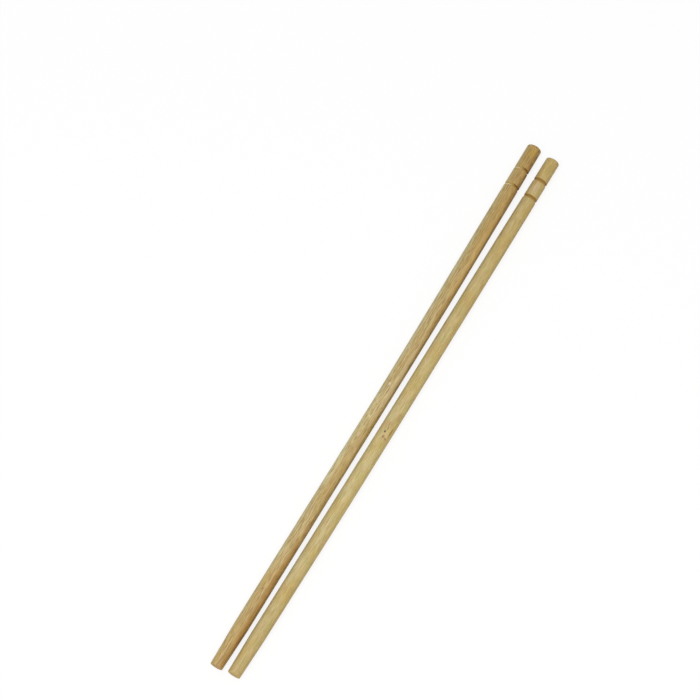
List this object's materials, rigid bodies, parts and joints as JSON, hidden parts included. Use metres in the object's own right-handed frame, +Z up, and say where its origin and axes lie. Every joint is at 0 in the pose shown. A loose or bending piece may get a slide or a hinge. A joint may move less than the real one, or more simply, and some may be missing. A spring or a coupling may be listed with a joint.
{
  "type": "bamboo chopsticks",
  "caption": "Pair of round bamboo chopsticks lying side by side, each turned from one splint, with two ring notches by the butt and a short tapered tip.",
  "frame": {"origin": "on the surface that the sticks lie on, under the middle of the pair's bounding box", "axes": "+X along the sticks towards their thick ends (butts), +Y from the right stick to the left stick, +Z up"},
  "size_m": [0.2012, 0.0124, 0.0051],
  "materials": {
    "brown_bamboo": "bare turned bamboo, matte, with brown fibres along it",
    "pale_bamboo": "bare turned bamboo, matte, pale, with one node half way along"
  },
  "bodies": {
    "root": {"left_chopstick": "brown_bamboo", "right_chopstick": "pale_bamboo"}
  },
  "joints": []
}
